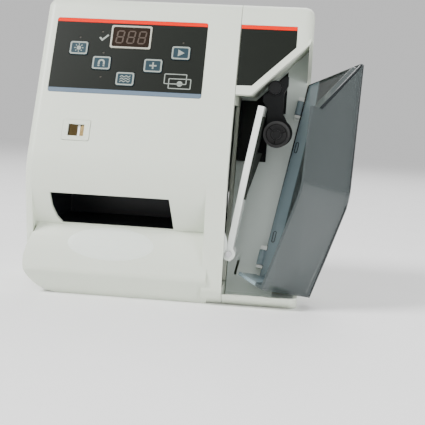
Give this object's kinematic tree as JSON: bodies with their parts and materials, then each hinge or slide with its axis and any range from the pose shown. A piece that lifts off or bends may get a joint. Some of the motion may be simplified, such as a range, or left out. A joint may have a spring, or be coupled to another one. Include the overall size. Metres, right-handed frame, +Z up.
{
  "type": "banknote counting machine",
  "caption": "Compact upright banknote counter: sloping key panel with display, note pocket in front, and a side loading bay under a hinged smoke-tinted cover.",
  "frame": {"origin": "middle of the base plane, under the middle of the housing", "axes": "+X to the user's right (the loading bay side), -Y towards the user, +Z up"},
  "size_m": [0.2143, 0.1032, 0.195],
  "materials": {
    "casing": "fine moulded texture, satin",
    "casing_rear": "fine moulded texture, satin",
    "overlay": "printed polyester overlay, satin gloss",
    "bezel": "satin",
    "display_glass": "dark brown tinted window, polished",
    "key": "satin, printed light border and icon",
    "rocker": "satin",
    "white_plastic": "satin",
    "black_plastic": "satin",
    "smoke_cover": "clear smoke-tinted moulding, polished",
    "rubber": "matt",
    "friction_rubber": "matt",
    "steel": "turned",
    "sheet_metal": "plain",
    "pcb": "solder mask",
    "led": "clear moulded",
    "lamp": "frosted tube"
  },
  "bodies": {
    "housing": {"left_shell": "casing", "bay_shell": "casing", "rear_cover": "casing_rear", "base_plate": "casing_rear", "inlaid_feet": "rubber", "rear_screws": "steel", "panel_overlay": "overlay", "display_bezel": "bezel", "display_window": "display_glass", "display_module": "white_plastic", "display_board": "pcb", "tact_switches": "black_plastic", "status_leds": "led", "switch_body": "casing", "note_pocket": "black_plastic", "bay_wall": "white_plastic", "throat_guide": "black_plastic", "arm_pin": "steel", "arm_spring": "steel", "plate_pin": "steel", "plate_spring": "steel", "plate_bracket": "white_plastic", "bracket_screw": "steel", "hinge_pins": "steel", "hinge_brackets": "white_plastic", "rear_frame": "sheet_metal", "front_frame": "sheet_metal", "frame_spacers": "steel", "shaft_bearings": "steel", "count_sensor": "black_plastic", "motor_can": "sheet_metal", "drive_belt": "rubber", "pickup_belt": "rubber", "stacker_belt": "rubber", "main_board": "pcb", "board_parts": "black_plastic", "dc_jack": "black_plastic", "uv_lamp": "lamp"},
    "cover": {"bay_cover": "smoke_cover"},
    "plate": {"pressure_plate": "white_plastic", "friction_pad": "friction_rubber"},
    "arm": {"feed_arm": "black_plastic", "roller_axle": "steel"},
    "roller": {"feed_roller": "rubber"},
    "drum": {"drum_shaft": "steel", "transport_drum": "rubber", "drum_pulley": "black_plastic", "encoder_disc": "black_plastic"},
    "pickup": {"pickup_shaft": "steel", "pickup_rollers": "rubber"},
    "stacker": {"stacker_shaft": "steel", "stacker_wheels": "rubber"},
    "rotor": {"motor_rotor": "steel"},
    "uv_button": {"uv_key": "key"},
    "magnetic_button": {"magnetic_key": "key"},
    "watermark_button": {"watermark_key": "key"},
    "add_button": {"add_key": "key"},
    "start_button": {"start_key": "key"},
    "rocker": {"power_rocker": "rocker"}
  },
  "joints": [
    {"name": "cover_hinge", "type": "hinge", "parent": "housing", "child": "cover", "pos_m": [0.0618, -0.022, 0.0109], "axis": [0.1698, 0.3369, 0.9261], "range_deg": [-49, 0]},
    {"name": "plate_swing", "type": "hinge", "parent": "housing", "child": "plate", "pos_m": [0.0448, 0, 0.033], "axis": [0, 1, 0], "range_deg": [-8, 0], "stiffness_Nm_per_rad": 0.05, "springref_deg": 28.65},
    {"name": "arm_swing", "type": "hinge", "parent": "housing", "child": "arm", "pos_m": [0.067, 0, 0.141], "axis": [0, 1, 0], "range_deg": [-2.5, 0], "stiffness_Nm_per_rad": 0.05, "springref_deg": 28.65},
    {"name": "roller_spin", "type": "hinge", "parent": "arm", "child": "roller", "pos_m": [0.0698, 0, 0.1105], "axis": [0, 1, 0], "continuous": true},
    {"name": "drum_spin", "type": "hinge", "parent": "housing", "child": "drum", "pos_m": [0.024, 0, 0.046], "axis": [0, 1, 0], "continuous": true},
    {"name": "motor_spin", "type": "hinge", "parent": "housing", "child": "rotor", "pos_m": [-0.052, 0, 0.112], "axis": [0, 1, 0], "continuous": true},
    {"name": "pickup_spin", "type": "hinge", "parent": "housing", "child": "pickup", "pos_m": [0.024, 0, 0.092], "axis": [0, 1, 0], "continuous": true},
    {"name": "stacker_spin", "type": "hinge", "parent": "housing", "child": "stacker", "pos_m": [-0.004, 0, 0.082], "axis": [0, 1, 0], "continuous": true},
    {"name": "uv_press", "type": "slide", "parent": "housing", "child": "uv_button", "axis": [0, 0.9336, -0.3584], "range_m": [0, 0.0008], "stiffness_N_per_m": 400},
    {"name": "magnetic_press", "type": "slide", "parent": "housing", "child": "magnetic_button", "axis": [0, 0.9336, -0.3584], "range_m": [0, 0.0008], "stiffness_N_per_m": 400},
    {"name": "watermark_press", "type": "slide", "parent": "housing", "child": "watermark_button", "axis": [0, 0.9336, -0.3584], "range_m": [0, 0.0008], "stiffness_N_per_m": 400},
    {"name": "add_press", "type": "slide", "parent": "housing", "child": "add_button", "axis": [0, 0.9336, -0.3584], "range_m": [0, 0.0008], "stiffness_N_per_m": 400},
    {"name": "start_press", "type": "slide", "parent": "housing", "child": "start_button", "axis": [0, 0.9336, -0.3584], "range_m": [0, 0.0008], "stiffness_N_per_m": 400},
    {"name": "power_tilt", "type": "hinge", "parent": "housing", "child": "rocker", "pos_m": [-0.0585, -0.03428, 0.10525], "axis": [0, 0.3584, 0.9336], "range_deg": [-16, 0]}
  ],
  "couplings": [
    {"joint": "drum_spin", "follows": "motor_spin", "ratio": 0.42857},
    {"joint": "pickup_spin", "follows": "motor_spin", "ratio": 1.1429},
    {"joint": "stacker_spin", "follows": "motor_spin", "ratio": 2.2857}
  ]
}
